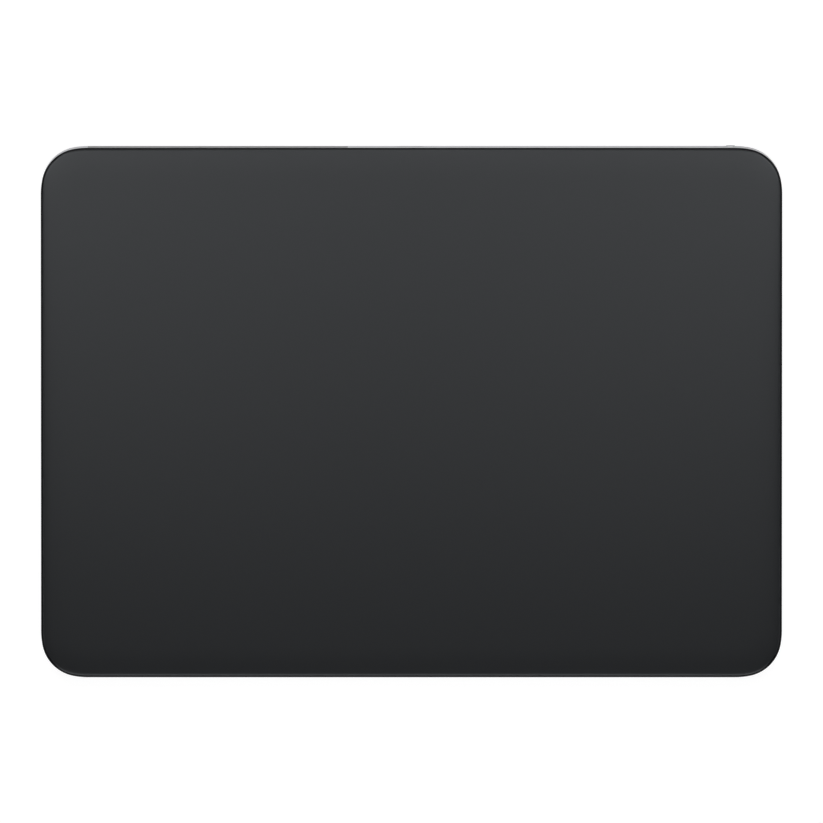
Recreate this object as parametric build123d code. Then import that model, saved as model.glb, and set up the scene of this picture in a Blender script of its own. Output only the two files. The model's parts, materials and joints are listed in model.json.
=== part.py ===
from build123d import *
import math
import os

# A slim wedge-shaped desk trackpad: a black glass touch surface on four force beams,
# over a machined aluminium case that rests on four rubber feet.
# Lengths are in millimetres and angles in degrees. +X is the user's right, +Y the rear edge, +Z up.
# The origin is on the desk, under the middle of the trackpad.
# Deck coordinates follow the sloping glass: x and y lie in its top face and depth runs down from it.

# Outline of the touch surface, and its slope
deck_width = 160.0
deck_length = 114.5
deck_tilt = 3.0
corner_lead_radius = 16.5
corner_core_radius = 8.4
corner_lead_sweep = 11.0

# Glass cover
glass_thickness = 1.0
glass_roll_width = 6.0
glass_roll_drop = 0.22
glass_edge_radius = 0.4
glass_under_chamfer = 0.15

# Layers bonded under the glass
bond_thickness = 0.1
touch_board_thickness = 0.6
touch_board_inset = 2.3
carrier_thickness = 0.6
carrier_inset = 3.4

# Travel of the touch surface
press_travel = 0.15
haptic_travel = 0.1
rim_gap = 0.3

# Aluminium case
wall_thickness = 1.5
floor_thickness = 0.9
bottom_edge_radius = 1.6
rim_chamfer = 0.2
cut_overrun = 1.0

# Rubber feet
foot_diameter = 10.0
foot_stand = 0.6
foot_recess = 0.4
foot_inset = 17.0
foot_edge_radius = 0.25
foot_fit = 0.05

# Small screws, shared by every sub-assembly
screw_head_radius = 1.2
screw_head_height = 0.45
screw_shank_radius = 0.7
screw_grip = 0.8
screw_fit = 0.03
screw_tip_gap = 0.1
screw_recess_width = 0.3
screw_recess_length = 1.4
screw_recess_depth = 0.25
boss_radius = 1.9

# Force beams: a root screwed to the case, a neck that bends, a tip under the touch surface
beam_thickness = 0.5
beam_width = 11.0
beam_root_length = 9.0
beam_neck_length = 8.0
beam_neck_width = 5.0
beam_tip_length = 10.0
beam_corner_radius = 1.0
beam_root_inset = 8.5
beam_screw_spacing = 6.0
beam_floor_gap = 0.3
front_beam_inset = 11.2
rear_beam_inset = 19.5
beam_notch_margin = 1.2
tip_plate_thickness = 0.25
tip_plate_side = 8.0
gel_thickness = 0.35
gel_side = 7.6

# Strain gauges on the beams, and the flat cable that collects them along the walls
gauge_length = 5.0
gauge_width = 3.2
gauge_thickness = 0.1
gauge_tail_width = 1.6
sensor_riser_gap = 0.3
sensor_wall_gap = 0.3

# Charging port, in the middle of the rear wall
port_slot_width = 6.9
port_slot_height = 1.75
port_slot_depth = 7.0
port_mouth_margin = 0.1
port_mouth_chamfer = 0.3
port_body_width = 9.4
port_body_height = 3.3
port_body_length = 8.2
port_shell_thickness = 0.25
port_shell_setback = 0.4
port_contact_count = 8
port_contact_pitch = 0.65
port_contact_width = 0.4
port_contact_length = 4.0
port_contact_height = 0.12
port_contact_setback = 1.6
port_board_width = 22.0
port_board_length = 8.6
port_board_thickness = 0.7

# Power switch, in the rear wall near the right corner
switch_slot_length = 4.9
switch_slot_height = 1.9
switch_slot_end_inset = 9.9
knob_length = 2.1
knob_height = 1.6
knob_end_gap = 0.15
knob_proud = 0.3
knob_edge_radius = 0.2
slider_thickness = 0.5
slider_height = 3.2
slider_margin = 0.5
slider_gap = 0.15
mark_thickness = 0.05
mark_height = 1.7
lever_width = 1.2
lever_height = 1.0
lever_length = 2.4
lever_gap = 0.15
switch_housing_width = 8.4
switch_housing_length = 3.0
switch_housing_height = 2.6
switch_housing_gap = 0.4
switch_board_width = 12.0
switch_board_length = 6.6
switch_board_thickness = 0.7
switch_screw_spacing = 8.0
switch_flex_width = 2.6
pocket_margin = 0.6

# Antenna window in the rear wall, and the antenna behind it
window_start_inset = 10.15
window_port_gap = 2.75
window_sill = 1.2
window_flange = 0.9
window_flange_thickness = 0.7
antenna_margin = 3.0
antenna_thickness = 2.4
antenna_top_gap = 0.5
trace_width = 0.8
trace_thickness = 0.1
trace_margin = 1.0
cable_diameter = 0.8
cable_floor_gap = 0.05
cable_bend_radius = 2.4
cable_lead = 3.0
cable_climb = 5.0
cable_socket_side = 2.2
cable_socket_height = 0.9

# Battery
battery_left_inset = 27.0
battery_swell_gap = 0.45
battery_corner_radius = 2.2
battery_edge_radius = 0.6
battery_lane = 2.4
battery_tape_thickness = 0.12
battery_tape_width = 7.0
battery_tape_margin = 4.0
battery_board_width = 4.0
battery_board_thickness = 0.8
battery_board_length = 16.0
battery_board_gap = 0.2
battery_flex_width = 3.0

# Logic board
board_length = 27.0
board_thickness = 0.7
board_standoff = 0.5
board_right_inset = 5.5
board_beam_gap = 9.4
board_battery_gap = 9.0
board_actuator_gap = 8.3
board_corner_radius = 1.5
board_screw_inset = 2.6
can_width = 14.0
can_length = 11.0
can_height = 1.0
can_wall = 0.15
can_left_inset = 5.0
can_rear_inset = 8.4
processor_side = 7.0
processor_height = 0.8
radio_side = 4.5
radio_height = 0.6
charger_side = 3.0
charger_height = 0.6
chip_gap = 2.5
connector_length = 2.6
connector_height = 0.6
connector_end_margin = 0.8
passive_length = 1.0
passive_width = 0.5
passive_height = 0.4
passive_pitch = 1.5
passive_gap = 0.75
passive_columns = 9
passive_rows = 2

# Flat cables
flex_thickness = 0.12
flex_width = 5.0
flex_lane_gap = 2.2
flex_tail = 1.8
flex_edge_gap = 0.4
flex_slope_run = 3.0

# Haptic actuator: coils on a comb core that pull a steel bar under the touch surface
actuator_battery_gap = 5.0
bar_width = 4.0
bar_length = 42.0
bar_drop = 1.7
bar_screw_inset = 3.0
pole_gap = 0.35
leg_count = 4
leg_pitch = 11.4
leg_width = 4.2
leg_length = 12.0
spine_width = 4.0
coil_wall = 0.6
coil_fit = 0.05
coil_length = 7.8
actuator_headroom = 0.25
actuator_floor_gap = 0.3
frame_thickness = 0.5
frame_ear_length = 5.0
frame_rail_width = 3.0
frame_window_gap = 0.3
haptic_flex_width = 3.0
haptic_flex_seat = 6.0

# Touch-surface electronics
touch_chip_side = 6.0
touch_chip_height = 0.7
touch_chip_pitch = 14.0
touch_chip_left_inset = 40.0
touch_chip_front_inset = 30.0
touch_chip_margin = 1.0
touch_flex_side_inset = 13.0
touch_flex_front_inset = 4.5
touch_flex_run = 6.0
touch_flex_margin = 1.5

# Depths of the layers below the top of the glass
touch_board_top = glass_thickness + bond_thickness
carrier_top = touch_board_top + touch_board_thickness
carrier_bottom = carrier_top + carrier_thickness
pressed_bottom = carrier_bottom + press_travel
gel_bottom = carrier_bottom + gel_thickness
beam_top = gel_bottom + tip_plate_thickness
beam_bottom = beam_top + beam_thickness
rim_depth = glass_thickness + rim_gap

# Force beams: (side, deck y) of each, and the places along one beam
front_beam_y = -deck_length / 2 + front_beam_inset
rear_beam_y = deck_length / 2 - rear_beam_inset
beam_places = {
    "front_left": (-1, front_beam_y),
    "front_right": (1, front_beam_y),
    "rear_left": (-1, rear_beam_y),
    "rear_right": (1, rear_beam_y),
}
beam_root_x = deck_width / 2 - beam_root_inset
beam_root_end = beam_root_x + beam_root_length / 2
beam_neck_x = beam_root_x - beam_root_length / 2 - beam_neck_length / 2
beam_tip_x = beam_neck_x - beam_neck_length / 2 - beam_tip_length / 2

# Height of the deck: the front beams clear the floor by their gap when the surface is pressed
tilt = math.radians(deck_tilt)
floor_top = foot_stand + floor_thickness
front_room = beam_bottom + press_travel + beam_floor_gap
deck_height = (
    floor_top
    + front_room * math.cos(tilt)
    - (front_beam_y - beam_width / 2) * math.sin(tilt)
)
front_height = deck_height - deck_length / 2 * math.sin(tilt)
rear_height = deck_height + deck_length / 2 * math.sin(tilt)
rear_lean = (rear_height - foot_stand - bottom_edge_radius) * math.tan(tilt)
deck_location = Location((0, -rear_lean / 2, deck_height), (deck_tilt, 0, 0))


def floor_depth(y):
    """Depth of the case's floor below the glass, at a place along the deck."""
    return (deck_height + y * math.sin(tilt) - floor_top) / math.cos(tilt)


def world(y, depth):
    """World (y, z) of a deck point."""
    return (
        -rear_lean / 2 + y * math.cos(tilt) + depth * math.sin(tilt),
        deck_height + y * math.sin(tilt) - depth * math.cos(tilt),
    )


def deck_y(y, z):
    """Deck y of a world point."""
    return (y + rear_lean / 2) * math.cos(tilt) + (z - deck_height) * math.sin(tilt)


def placed(shape):
    """Carries a shape from deck coordinates to the world."""
    return deck_location * shape


def plate(width, length, low, high, x=0.0, y=0.0, corner=0.0):
    """A flat block between two heights, with rounded upright corners if a radius is given."""
    face = RectangleRounded(width, length, corner) if corner > 0 else Rectangle(width, length)
    return Pos(x, y, low) * extrude(face, high - low)


def deck_plate(width, length, top, bottom, x=0.0, y=0.0, corner=0.0):
    """The same block in deck coordinates, between two depths."""
    return plate(width, length, -bottom, -top, x, y, corner)


def rod(x, y, top, length, radius):
    """A cylinder that runs down from a depth, in deck coordinates."""
    return Pos(x, y, -top - length / 2) * Cylinder(radius, length)


def pill(width, height, start, end, x, depth):
    """A round-ended bar along the deck's y, between two places."""
    plane = Plane(origin=(x, start, -depth), x_dir=(1, 0, 0), z_dir=(0, 1, 0))
    return extrude(plane * SlotOverall(width, height), end - start)


def group(shapes):
    """Several separate solids as one node."""
    return Compound(children=[solid for shape in shapes for solid in shape.solids()])


# Outline of the deck, with corners that tighten in two steps

corner_spread = corner_lead_radius - corner_core_radius
corner_sweep = math.radians(corner_lead_sweep)
corner_tangent = corner_lead_radius - corner_spread * (
    math.cos(corner_sweep) - math.sin(corner_sweep)
)


def corner_points(inset):
    """Ends and middles of the three arcs of one corner, measured inwards from its sharp vertex."""
    lead_centre = (corner_lead_radius, corner_tangent)
    core_centre = (
        corner_lead_radius - corner_spread * math.cos(corner_sweep),
        corner_tangent - corner_spread * math.sin(corner_sweep),
    )

    def on_arc(centre, radius, angle):
        reach = radius - inset
        return (centre[0] - reach * math.cos(angle), centre[1] - reach * math.sin(angle))

    first = [on_arc(lead_centre, corner_lead_radius, corner_sweep * part) for part in (0, 0.5, 1)]
    middle = [on_arc(core_centre, corner_core_radius, math.pi / 4)]
    last = [(v, u) for u, v in reversed(first)]
    return first + middle + last


def outline(inset=0.0):
    """The closed outline of the deck, moved inwards by an inset."""
    points = corner_points(inset)
    rounds = []
    for side_x, side_y in ((1, 1), (-1, 1), (-1, -1), (1, -1)):
        turned = [
            (side_x * (deck_width / 2 - u), side_y * (deck_length / 2 - v)) for u, v in points
        ]
        rounds.append(turned if side_x == side_y else turned[::-1])
    edges = []
    for number, turned in enumerate(rounds):
        edges += [ThreePointArc(*turned[first : first + 3]) for first in (0, 2, 4)]
        edges.append(Line(turned[6], rounds[(number + 1) % len(rounds)][0]))
    return Wire(edges)


def outline_slab(inset, top, bottom):
    """A block with the deck's outline, between two depths, in deck coordinates."""
    return Pos(0, 0, -bottom) * extrude(make_face(outline(inset)), bottom - top)


def above(height):
    """A large block that keeps what lies above a height."""
    reach = deck_width + deck_length
    return plate(reach, reach, height, height + reach)


# Screws and bosses


def screw(shank_length):
    """A pan-head screw with a cross recess. Its head sits on z = 0 and its shank points down."""
    head = Pos(0, 0, screw_head_height / 2) * Cylinder(screw_head_radius, screw_head_height)
    shank = Pos(0, 0, -shank_length / 2) * Cylinder(screw_shank_radius, shank_length)
    recess_low = screw_head_height - screw_recess_depth
    cross = [
        plate(screw_recess_length, screw_recess_width, recess_low, screw_head_height),
        plate(screw_recess_width, screw_recess_length, recess_low, screw_head_height),
    ]
    return head + shank - cross


def deck_screws(places, seat, clamped):
    """Screws that hold a clamped thickness from a seat depth, in deck coordinates."""
    one = screw(clamped + screw_grip)
    return group([Pos(x, y, -seat) * one for x, y in places])


def screw_holes(places, top, length):
    """Clearance holes for those screws, in deck coordinates."""
    radius = screw_shank_radius + screw_fit
    return [rod(x, y, top, length, radius) for x, y in places]


def boss_holes(places, top):
    """Blind holes in the bosses, just longer than the screws."""
    return screw_holes(places, top, screw_grip + screw_tip_gap)


def bosses(places, top):
    """Round posts that rise from the case's floor to a depth, in deck coordinates."""
    posts = []
    for x, y in places:
        foot = floor_depth(y) + floor_thickness / 2
        posts.append(rod(x, y, top, foot - top, boss_radius))
    return posts


# Places shared by several pieces

rear_face = deck_length / 2
rear_inner_face = rear_face - wall_thickness
rear_wall_bottom = (rear_height - foot_stand) / math.cos(tilt)
rear_axis_depth = (rim_depth + rear_wall_bottom) / 2

port_board_top = rear_axis_depth + port_body_height / 2
port_board_bottom = port_board_top + port_board_thickness
port_board_y = rear_inner_face - port_board_length / 2
port_screw_x = port_body_width / 2 + port_shell_thickness + boss_radius
port_screw_places = [(side * port_screw_x, port_board_y) for side in (-1, 1)]

slot_right = deck_width / 2 - switch_slot_end_inset
slot_middle = slot_right - switch_slot_length / 2
switch_travel = switch_slot_length - knob_length - 2 * knob_end_gap
knob_x = slot_right - knob_end_gap - knob_length / 2
slider_face = rear_inner_face - slider_gap
slider_back = slider_face - slider_thickness
slider_left = slot_right - switch_slot_length - slider_margin
slider_right = slot_right + slider_margin + switch_travel
switch_housing_rear = slider_back - switch_housing_gap
switch_board_top = rear_axis_depth + switch_housing_height / 2
switch_board_bottom = switch_board_top + switch_board_thickness
switch_board_front = switch_housing_rear - switch_board_length
switch_screw_places = [
    (slot_middle + side * switch_screw_spacing / 2, switch_board_front + boss_radius)
    for side in (-1, 1)
]

window_left = -deck_width / 2 + window_start_inset
window_right = -port_board_width / 2 - window_port_gap
window_length = window_right - window_left
window_x = (window_left + window_right) / 2
window_bottom = rear_wall_bottom - bottom_edge_radius - window_sill
antenna_top = pressed_bottom + antenna_top_gap
antenna_length = window_length - 2 * antenna_margin
antenna_rear = rear_inner_face - window_flange_thickness
antenna_front = antenna_rear - antenna_thickness

board_right = deck_width / 2 - board_right_inset
core_width = leg_pitch * (leg_count - 1) + leg_width
board_left = core_width / 2 + frame_ear_length + board_actuator_gap
board_width = board_right - board_left
board_x = (board_left + board_right) / 2
board_front = world(front_beam_y + beam_width / 2, beam_bottom)[0] + board_beam_gap
board_rear = board_front + board_length
board_y = (board_front + board_rear) / 2
board_low = floor_top + board_standoff
board_top = board_low + board_thickness
battery_flex_x = board_left + 2 * board_screw_inset + battery_flex_width / 2
port_flex_x = battery_flex_x + battery_flex_width / 2 + flex_lane_gap + flex_width / 2
cable_x = port_flex_x + flex_width / 2 + flex_lane_gap

battery_rear = world(port_board_y - port_board_length / 2, port_board_bottom)[0] - battery_lane
battery_front = board_rear + board_battery_gap
battery_width = battery_rear - battery_front
battery_left = -deck_width / 2 + battery_left_inset
battery_board_left = battery_flex_x - battery_board_width / 2
battery_right = battery_board_left - battery_board_gap
battery_length = battery_right - battery_left
battery_x = (battery_left + battery_right) / 2
battery_y = (battery_rear + battery_front) / 2
battery_low = floor_top + battery_tape_thickness
battery_room = min(
    world(deck_y(battery_front, floor_top), pressed_bottom)[1],
    world(rear_beam_y - beam_width / 2, beam_bottom + press_travel)[1],
)
battery_high = battery_room - battery_swell_gap
battery_board_top = battery_low + battery_board_thickness

board_screw_places = [
    (board_x + side * (board_width / 2 - board_screw_inset), y)
    for side in (-1, 1)
    for y in (board_front + board_screw_inset, board_rear - board_screw_inset)
]

bar_y = deck_y(battery_front, floor_top) - actuator_battery_gap - bar_width / 2
bar_screw_places = [
    (side * (bar_length / 2 - bar_screw_inset), bar_y) for side in (-1, 1)
]
leg_rear = bar_y - bar_width / 2 - pole_gap
spine_rear = leg_rear - leg_length
spine_front = spine_rear - spine_width
coil_grow = coil_fit + coil_wall
core_top = pressed_bottom + actuator_headroom + coil_grow
core_bottom = floor_depth(spine_front) - actuator_floor_gap - coil_grow
leg_places = [(number - (leg_count - 1) / 2) * leg_pitch for number in range(leg_count)]
frame_bottom = core_bottom + frame_thickness
frame_screw_places = [
    (side * (core_width + frame_ear_length) / 2, y)
    for side in (-1, 1)
    for y in (spine_front + spine_width / 2, leg_rear - frame_ear_length / 2)
]
haptic_flex_y = spine_front + spine_width / 2
haptic_socket_y = world(haptic_flex_y, core_bottom)[0]
haptic_socket_depth = floor_depth(haptic_flex_y) - (board_top - floor_top) - connector_height / 2

touch_flex_x = board_right - touch_flex_side_inset
touch_flex_start = board_front + touch_flex_front_inset + connector_length
touch_flex_end = deck_y(touch_flex_start, board_top) + flex_tail + touch_flex_run
touch_chip_x = -deck_width / 2 + touch_chip_left_inset
touch_chip_y = -deck_length / 2 + touch_chip_front_inset
sensor_connector_y = board_y


# Touch surface


def glass_cover():
    """The glass: flat in the middle, rolling off gently near its outline, with a rounded edge."""
    roll_radius = (glass_roll_width**2 + glass_roll_drop**2) / (2 * glass_roll_drop)
    reach = roll_radius - glass_edge_radius
    edge_slope = math.asin((glass_roll_width - glass_edge_radius) / reach)
    edge_depth = roll_radius - reach * math.cos(edge_slope)
    path = outline()
    start = path @ 0

    def at(inwards, depth):
        return Vector(start.X - inwards, start.Y, -depth)

    def on_roll(angle):
        return at(
            glass_roll_width - roll_radius * math.sin(angle),
            roll_radius * (1 - math.cos(angle)),
        )

    def on_edge(angle):
        return at(
            glass_edge_radius * (1 - math.sin(angle)),
            edge_depth - glass_edge_radius * math.cos(angle),
        )

    under = glass_thickness - glass_under_chamfer
    lower = Polyline(
        on_edge(math.pi / 2),
        at(0, under),
        at(glass_under_chamfer, glass_thickness),
        at(glass_roll_width, glass_thickness),
        at(glass_roll_width, 0),
    )
    roll = ThreePointArc(on_roll(0), on_roll(edge_slope / 2), on_roll(edge_slope))
    edge_middle = (edge_slope + math.pi / 2) / 2
    round_edge = ThreePointArc(on_edge(edge_slope), on_edge(edge_middle), on_edge(math.pi / 2))
    section = Wire([roll, round_edge] + lower.edges())
    return sweep(Face(section), path=path) + outline_slab(glass_roll_width, 0, glass_thickness)


def carrier_plate():
    """The steel plate under the touch board, notched over the screwed ends of the force beams."""
    blank = outline_slab(carrier_inset, carrier_top, carrier_bottom)
    notch_length = beam_width + 2 * beam_notch_margin
    notch_start = beam_root_x - beam_root_length / 2 - beam_notch_margin
    notch_width = deck_width / 2 - notch_start
    cut_top = carrier_top - cut_overrun
    cut_bottom = carrier_bottom + cut_overrun
    cuts = []
    for side, y in beam_places.values():
        x = side * (notch_start + notch_width / 2)
        cuts.append(deck_plate(notch_width, notch_length, cut_top, cut_bottom, x, y))
    chip_window = touch_chip_side + 2 * touch_chip_margin
    cuts.append(
        deck_plate(
            chip_window + touch_chip_pitch, chip_window, cut_top, cut_bottom,
            touch_chip_x + touch_chip_pitch / 2, touch_chip_y, touch_chip_margin,
        )
    )
    slot_length = flex_tail + 2 * touch_flex_margin + flex_slope_run / 2
    slot_y = touch_flex_end + flex_tail + touch_flex_margin - slot_length / 2
    cuts.append(
        deck_plate(
            flex_width + 2 * touch_flex_margin, slot_length, cut_top, cut_bottom,
            touch_flex_x, slot_y, touch_chip_margin,
        )
    )
    return blank - cuts - screw_holes(bar_screw_places, carrier_top, carrier_thickness)


def touch_chips():
    """Touch controller chips on the underside of the touch board."""
    low = carrier_top + touch_chip_height
    return group(
        [
            deck_plate(touch_chip_side, touch_chip_side, carrier_top, low, x, touch_chip_y)
            for x in (touch_chip_x, touch_chip_x + touch_chip_pitch)
        ]
    )


def attraction_bar():
    """The steel bar that the coils pull."""
    bottom = carrier_bottom + bar_drop
    bar = deck_plate(bar_length, bar_width, carrier_bottom, bottom, 0, bar_y)
    return bar - screw_holes(bar_screw_places, carrier_bottom, bar_drop)


def bar_screws():
    """Screws that hold the bar to the carrier plate from below."""
    one = Rot(180, 0, 0) * screw(bar_drop + carrier_thickness - screw_tip_gap)
    return group([Pos(x, y, -carrier_bottom - bar_drop) * one for x, y in bar_screw_places])


# Force beams


def beam_screw_places():
    """Places of the two screws in each beam root."""
    return [
        (side * beam_root_x, y + shift * beam_screw_spacing / 2)
        for side, y in beam_places.values()
        for shift in (-1, 1)
    ]


def force_beam(side, y):
    """One spring-steel beam with a narrow neck."""
    layer = (beam_top, beam_bottom)
    neck_length = beam_neck_length + 2 * beam_corner_radius
    root = deck_plate(
        beam_root_length, beam_width, *layer, side * beam_root_x, y, beam_corner_radius
    )
    tip = deck_plate(
        beam_tip_length, beam_width, *layer, side * beam_tip_x, y, beam_corner_radius
    )
    neck = deck_plate(neck_length, beam_neck_width, *layer, side * beam_neck_x, y)
    return root + tip + neck - screw_holes(beam_screw_places(), beam_top, beam_thickness)


def over_tips(side_length, top, bottom):
    """A square pad over each beam tip."""
    return group(
        [
            deck_plate(side_length, side_length, top, bottom, side * beam_tip_x, y)
            for side, y in beam_places.values()
        ]
    )


def strain_gauges():
    """Foil gauges bonded on the beam necks."""
    return group(
        [
            deck_plate(
                gauge_length, gauge_width, beam_top - gauge_thickness, beam_top, side * beam_neck_x, y
            )
            for side, y in beam_places.values()
        ]
    )


def sensor_flex(cavity):
    """The flat cable along the left, front and right walls, with a branch up to every gauge."""
    riser_start = beam_root_end + sensor_riser_gap
    strip_inner = deck_width / 2 - riser_start
    deep = rear_wall_bottom
    rear_end = rear_beam_y + gauge_tail_width
    ring = outline_slab(wall_thickness + sensor_wall_gap, 0, deep)
    ring -= outline_slab(strip_inner, -cut_overrun, deep + cut_overrun)
    reach = deck_width
    ring -= deck_plate(2 * reach, reach, -reach, reach, 0, rear_end + reach / 2)
    flat_layer = plate(2 * reach, 2 * reach, floor_top, floor_top + flex_thickness)
    strip = placed(ring) & flat_layer
    tab_top = beam_top - flex_thickness
    tab_start = beam_neck_x + gauge_length / 2
    tab_end = riser_start + flex_thickness
    for side, y in beam_places.values():
        riser_x = side * (riser_start + flex_thickness / 2)
        riser = deck_plate(flex_thickness, gauge_tail_width, tab_top, deep, riser_x, y)
        tab_x = side * (tab_start + tab_end) / 2
        tab = deck_plate(tab_end - tab_start, gauge_tail_width, tab_top, beam_top, tab_x, y)
        strip += (placed(riser) & cavity) + placed(tab)
    landing = board_right - flex_tail
    turn = board_right + flex_edge_gap
    board_side = [
        plate(turn + flex_thickness - landing, switch_flex_width, board_top,
              board_top + flex_thickness, (landing + turn + flex_thickness) / 2, sensor_connector_y),
        plate(flex_thickness, switch_flex_width, floor_top, board_top + flex_thickness,
              turn + flex_thickness / 2, sensor_connector_y),
        plate(riser_start + flex_thickness - turn, switch_flex_width, floor_top,
              floor_top + flex_thickness, (riser_start + flex_thickness + turn) / 2,
              sensor_connector_y),
    ]
    return strip + board_side


# Charging port


def port_housing():
    """The port's insulator, with the slot that takes the plug."""
    half = port_body_height / 2
    block = deck_plate(
        port_body_width, port_body_length, rear_axis_depth - half, rear_axis_depth + half,
        0, rear_inner_face - port_body_length / 2,
    )
    return block - pill(
        port_slot_width, port_slot_height, rear_inner_face - port_slot_depth,
        rear_inner_face + cut_overrun, 0, rear_axis_depth,
    )


def port_shell():
    """The folded steel shield over the port's insulator."""
    half = port_body_height / 2
    length = port_body_length - port_shell_setback
    y = rear_inner_face - port_shell_setback - length / 2
    outer_width = port_body_width + 2 * port_shell_thickness
    top = rear_axis_depth - half - port_shell_thickness
    outer = deck_plate(outer_width, length, top, port_board_top, 0, y)
    inner = deck_plate(
        port_body_width, length + cut_overrun, top + port_shell_thickness,
        port_board_top + cut_overrun, 0, y,
    )
    return outer - inner


def port_contacts():
    """The contacts that lie on the lower side of the slot."""
    low = rear_axis_depth + port_slot_height / 2
    y = rear_inner_face - port_contact_setback - port_contact_length / 2
    return group(
        [
            deck_plate(
                port_contact_width, port_contact_length, low - port_contact_height, low,
                (number - (port_contact_count - 1) / 2) * port_contact_pitch, y,
            )
            for number in range(port_contact_count)
        ]
    )


def port_board():
    """The small board that carries the port."""
    board = deck_plate(
        port_board_width, port_board_length, port_board_top, port_board_bottom, 0, port_board_y
    )
    return board - screw_holes(port_screw_places, port_board_top, port_board_thickness)


# Power switch


def switch_knob():
    """The sliding knob, with the flange that covers the slot from inside."""
    knob = pill(
        knob_length, knob_height, slider_back, rear_face + knob_proud, knob_x, rear_axis_depth
    )
    outer_edges = knob.edges().group_by(Axis.Y)[-1]
    knob = fillet(outer_edges, knob_edge_radius)
    flange = deck_plate(
        slider_right - slider_left, slider_thickness,
        rear_axis_depth - slider_height / 2, rear_axis_depth + slider_height / 2,
        (slider_left + slider_right) / 2, slider_back + slider_thickness / 2,
    )
    return knob + flange


def switch_mark():
    """The coloured patch on the flange that shows in the slot when the switch is on."""
    return deck_plate(
        switch_travel, mark_thickness,
        rear_axis_depth - mark_height / 2, rear_axis_depth + mark_height / 2,
        slot_right + switch_travel / 2, slider_face + mark_thickness / 2,
    )


def switch_lever():
    """The lever of the slide switch, carried along by the flange."""
    return deck_plate(
        lever_width, lever_length,
        rear_axis_depth - lever_height / 2, rear_axis_depth + lever_height / 2,
        knob_x, slider_back - lever_length / 2,
    )


def switch_housing():
    """The body of the slide switch, with a slot that its lever travels in."""
    top = rear_axis_depth - switch_housing_height / 2
    housing = deck_plate(
        switch_housing_width, switch_housing_length, top, switch_board_top,
        slot_middle, switch_housing_rear - switch_housing_length / 2,
    )
    lever_end = slider_back - lever_length - lever_gap
    slot_depth = switch_housing_rear + cut_overrun - lever_end
    slot = deck_plate(
        lever_width + switch_travel + 2 * lever_gap, slot_depth,
        rear_axis_depth - lever_height / 2 - lever_gap,
        rear_axis_depth + lever_height / 2 + lever_gap,
        slot_middle, lever_end + slot_depth / 2,
    )
    return housing - slot


def switch_board():
    """The small board that carries the switch."""
    board = deck_plate(
        switch_board_width, switch_board_length, switch_board_top, switch_board_bottom,
        slot_middle, switch_board_front + switch_board_length / 2,
    )
    return board - screw_holes(switch_screw_places, switch_board_top, switch_board_thickness)


# Antenna


def window_notch(overrun):
    """The notch in the rear wall that the antenna window fills, with an overrun on both faces."""
    return deck_plate(
        window_length, wall_thickness + 2 * overrun, -cut_overrun, window_bottom,
        window_x, rear_face - wall_thickness / 2,
    )


def window_rim():
    """The flange behind the notch's edges."""
    return deck_plate(
        window_length + 2 * window_flange, window_flange_thickness,
        antenna_top, window_bottom + window_flange,
        window_x, rear_inner_face - window_flange_thickness / 2,
    )


def antenna_window(walls):
    """The plastic insert, flush with the wall, with its flange inside."""
    return (walls & window_notch(0)) + window_rim()


def antenna_carrier():
    """The plastic bar that carries the antenna behind its window."""
    return deck_plate(
        antenna_length, antenna_thickness, antenna_top, window_bottom,
        window_x, antenna_front + antenna_thickness / 2,
    )


def antenna_trace():
    """The copper antenna on the front of its bar: a long arm, a feed leg and a return arm."""
    y = antenna_front - trace_thickness / 2
    long_arm = antenna_length - 2 * trace_margin
    top = antenna_top + trace_margin
    bottom = window_bottom - trace_margin
    right = window_x + long_arm / 2
    arms = [
        deck_plate(long_arm, trace_thickness, top, top + trace_width, window_x, y),
        deck_plate(trace_width, trace_thickness, top, bottom, right - trace_width / 2, y),
        deck_plate(
            long_arm / 2, trace_thickness, bottom - trace_width, bottom, right - long_arm / 4, y
        ),
    ]
    return arms[0] + arms[1] + arms[2]


def antenna_cable():
    """The thin coaxial cable from the antenna to the logic board, along the floor."""
    radius = cable_diameter / 2
    low = floor_top + cable_floor_gap + radius
    high = board_top + cable_socket_height / 2
    feed_x = window_x + antenna_length / 2 - trace_margin - trace_width / 2
    feed = antenna_front - trace_thickness
    feed_depth = (antenna_top + window_bottom) / 2
    feed_y, feed_z = world(feed, feed_depth)
    lead_y, lead_z = world(feed - cable_lead, feed_depth)
    lane_y = battery_rear + battery_lane / 2
    path = FilletPolyline(
        (feed_x, feed_y, feed_z),
        (feed_x, lead_y, lead_z),
        (feed_x, lane_y, low),
        (cable_x, lane_y, low),
        (cable_x, board_rear + cable_climb, low),
        (cable_x, board_rear + flex_edge_gap, high),
        (cable_x, board_rear - flex_tail, high),
        radius=cable_bend_radius,
    )
    section = Plane(origin=path @ 0, z_dir=path % 0) * Circle(radius)
    return sweep(section, path=path)


# Battery


def battery_cell():
    """The flat battery pouch, with soft edges."""
    cell = plate(
        battery_length, battery_width, battery_low, battery_high,
        battery_x, battery_y, battery_corner_radius,
    )
    rims = cell.edges().group_by(Axis.Z)[0] + cell.edges().group_by(Axis.Z)[-1]
    return fillet(rims, battery_edge_radius)


def battery_tape():
    """Adhesive strips between the battery, its board and the floor."""
    length = battery_width - 2 * battery_tape_margin
    reach = battery_length / 2 - battery_tape_margin - battery_tape_width / 2
    strips = [
        plate(battery_tape_width, length, floor_top, battery_low, battery_x + shift, battery_y)
        for shift in (-reach, 0, reach)
    ]
    strips.append(
        plate(
            battery_board_width, battery_board_length, floor_top, battery_low,
            battery_flex_x, battery_y,
        )
    )
    return group(strips)


# Logic board


def board_screws():
    """Screws of the logic board."""
    one = screw(board_thickness + screw_grip)
    return group([Pos(x, y, board_top) * one for x, y in board_screw_places])


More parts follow.
